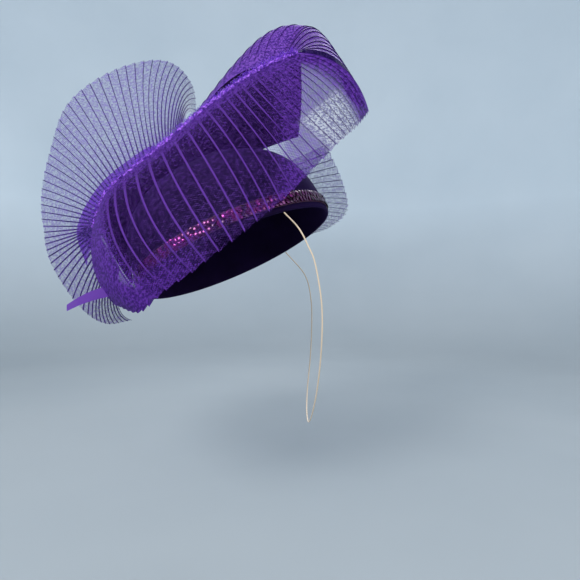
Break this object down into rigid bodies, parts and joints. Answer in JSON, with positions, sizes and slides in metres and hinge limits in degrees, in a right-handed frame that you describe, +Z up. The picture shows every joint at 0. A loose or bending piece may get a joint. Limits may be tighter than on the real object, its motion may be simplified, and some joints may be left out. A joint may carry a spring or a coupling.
{
  "type": "church hat",
  "caption": "Dark purple felt hat with a swept felt trough, ruffles of pleated violet crinoline, a magenta sequin band and an elastic loop.",
  "frame": {"origin": "on the inside of the felt crown's top, where the hat sits on the head", "axes": "+Z up as the hat is worn, +X towards the raised right end of the sweep, -Y towards the side with the front sheet of crinoline; the hat is tilted about this point as it is worn"},
  "size_m": [0.3307, 0.2683, 0.4306],
  "materials": {
    "felt": "dark purple wool felt",
    "sweep_felt": "dark purple wool felt",
    "gathered_crinoline": "bunched violet nylon net, slight sheen",
    "crinoline": "pleated violet nylon net, see-through",
    "crinoline_net": "single layer of pleated violet nylon net, see-through",
    "sequins": "woven band covered with shiny magenta sequins",
    "elastic_cord": "thin cream elastic"
  },
  "bodies": {
    "root": {"felt_crown": "felt", "felt_sweep": "sweep_felt", "crin_roll": "gathered_crinoline", "crin_front": "crinoline", "crin_tip": "crinoline", "crin_fan": "crinoline_net", "crin_frill": "crinoline", "crin_back": "crinoline_net", "sequin_band": "sequins", "elastic": "elastic_cord"}
  },
  "joints": []
}
